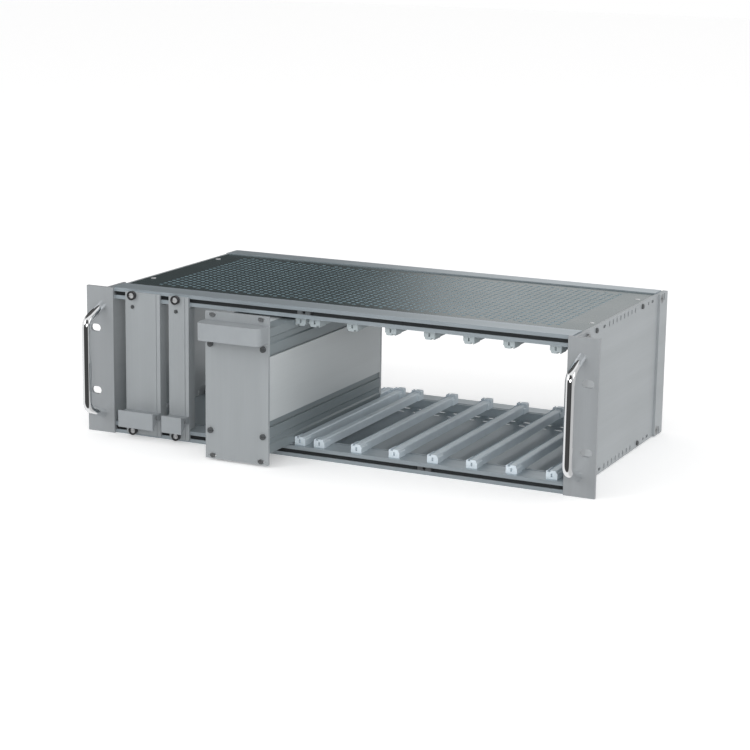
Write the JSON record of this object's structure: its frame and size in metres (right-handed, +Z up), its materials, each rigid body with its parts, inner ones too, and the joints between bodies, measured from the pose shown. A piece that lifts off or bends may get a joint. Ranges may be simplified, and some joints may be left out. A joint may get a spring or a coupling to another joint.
{
  "type": "subrack card cage",
  "caption": "Low wide rack-mount aluminium card cage with perforated top, plastic card guides, front units, lift handles and a cassette that slides out.",
  "frame": {"origin": "centre of the four rack slots, on the rear face of the rack flanges, which is the face that meets the rack", "axes": "+X to the right seen from the front, +Y to the back of the case, +Z up"},
  "size_m": [0.4826, 0.2965, 0.1324],
  "materials": {
    "flanges": "satin natural anodised",
    "side_panels": "satin natural anodised",
    "rails": "satin natural anodised extrusion",
    "top_cover": "satin grey, perforated",
    "bottom_cover": "satin grey",
    "front_panels": "satin natural anodised",
    "cassette_front": "satin natural anodised",
    "cassette_body": "satin natural anodised",
    "chrome": "mirror bright",
    "guides": "light bluish grey moulding",
    "grips": "light grey moulding",
    "sleeves": "black",
    "screws": "bright zinc plated",
    "dark_screws": "blackened",
    "steel_parts": "zinc plated"
  },
  "bodies": {
    "frame": {"flange_left": "flanges", "flange_right": "flanges", "lift_handle_left": "chrome", "lift_handle_right": "chrome", "side_panel_left": "side_panels", "side_panel_right": "side_panels", "rail_front_top": "rails", "rail_front_bottom": "rails", "rail_rear_top": "rails", "rail_rear_bottom": "rails", "top_cover": "top_cover", "bottom_cover": "bottom_cover", "cover_blocks": "steel_parts", "guide_low_1": "guides", "guide_low_2": "guides", "guide_low_3": "guides", "guide_low_4": "guides", "guide_low_5": "guides", "guide_low_6": "guides", "guide_low_7": "guides", "guide_low_8": "guides", "guide_low_9": "guides", "guide_low_10": "guides", "guide_top_1": "guides", "guide_top_2": "guides", "guide_top_3": "guides", "guide_top_4": "guides", "guide_top_5": "guides", "guide_top_6": "guides", "guide_top_7": "guides", "guide_top_8": "guides", "slide_nuts": "steel_parts", "unit_a_panel": "front_panels", "unit_a_handle": "grips", "unit_b_panel": "front_panels", "unit_b_handle": "grips", "board_holders": "steel_parts", "holder_screws": "dark_screws", "collar_sleeves": "sleeves", "collar_screws": "screws", "rail_screws": "screws", "cover_screws": "screws", "block_screws": "dark_screws", "lift_handle_screws": "screws"},
    "cassette": {"cassette_panel": "cassette_front", "cassette_handle": "cassette_front", "cassette_profile_top_left": "cassette_body", "cassette_profile_top_right": "cassette_body", "cassette_profile_bottom_left": "cassette_body", "cassette_profile_bottom_right": "cassette_body", "cassette_side_left": "cassette_body", "cassette_side_right": "cassette_body", "cassette_top": "cassette_body", "cassette_bottom": "cassette_body", "cassette_rear": "cassette_body", "cassette_panel_screws": "dark_screws", "cassette_rear_screws": "screws", "cassette_fixing_screws": "screws"}
  },
  "joints": [
    {"name": "cassette_slide", "type": "slide", "parent": "frame", "child": "cassette", "axis": [0, 1, 0], "range_m": [-0.12, 0.0412]}
  ]
}
